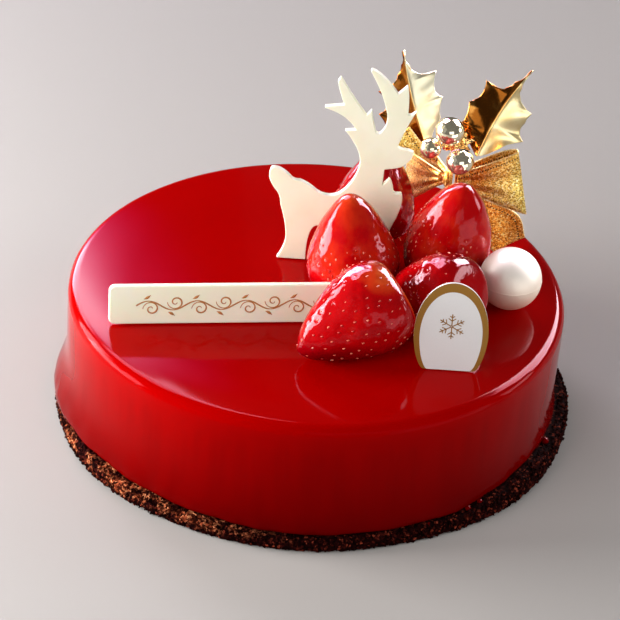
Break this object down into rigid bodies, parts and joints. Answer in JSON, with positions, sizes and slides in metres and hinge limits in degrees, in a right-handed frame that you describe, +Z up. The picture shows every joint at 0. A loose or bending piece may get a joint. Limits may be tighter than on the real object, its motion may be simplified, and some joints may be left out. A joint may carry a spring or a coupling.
{
  "type": "christmas cake",
  "caption": "Round red mirror-glazed Christmas cake on a chocolate crumb base, topped with glazed strawberries, white chocolate pieces and a gold holly pick.",
  "frame": {"origin": "centre of the crumb base's flat underside", "axes": "+Z up, -Y towards the front, where the card and the bar face, +X to the right as seen from the front"},
  "size_m": [0.1591, 0.1588, 0.1064],
  "materials": {
    "red_glaze": "mirror gloss gel glaze",
    "chocolate_crumb": "rough dark biscuit crumb",
    "strawberry": "glossy, clear-glazed, with pale seeds",
    "white_chocolate": "smooth satin",
    "card": "smooth card with a gold printed rim",
    "pearl": "pearly satin gloss",
    "gold_foil": "polished thin foil",
    "polished_gold": "mirror polished pale gold",
    "gold_ribbon": "woven metallic glitter"
  },
  "bodies": {
    "root": {"chocolate_base": "chocolate_crumb", "glazed_cake": "red_glaze", "strawberry_front": "strawberry", "strawberry_left": "strawberry", "strawberry_right": "strawberry", "strawberry_low": "strawberry", "strawberry_back": "strawberry", "reindeer_plate": "white_chocolate", "chocolate_bar": "white_chocolate", "egg_card": "card", "pearl_ball": "pearl", "pick_stem": "gold_foil", "foil_tuft": "gold_foil", "gold_ball_top": "polished_gold", "gold_ball_left": "polished_gold", "gold_ball_low": "polished_gold", "holly_leaf_left": "gold_foil", "holly_leaf_right": "gold_foil", "ribbon_loop_right": "gold_ribbon", "ribbon_loop_left": "gold_ribbon", "ribbon_tail_right": "gold_ribbon", "ribbon_tail_left": "gold_ribbon", "ribbon_end_left": "gold_ribbon", "ribbon_knot": "gold_ribbon"}
  },
  "joints": []
}
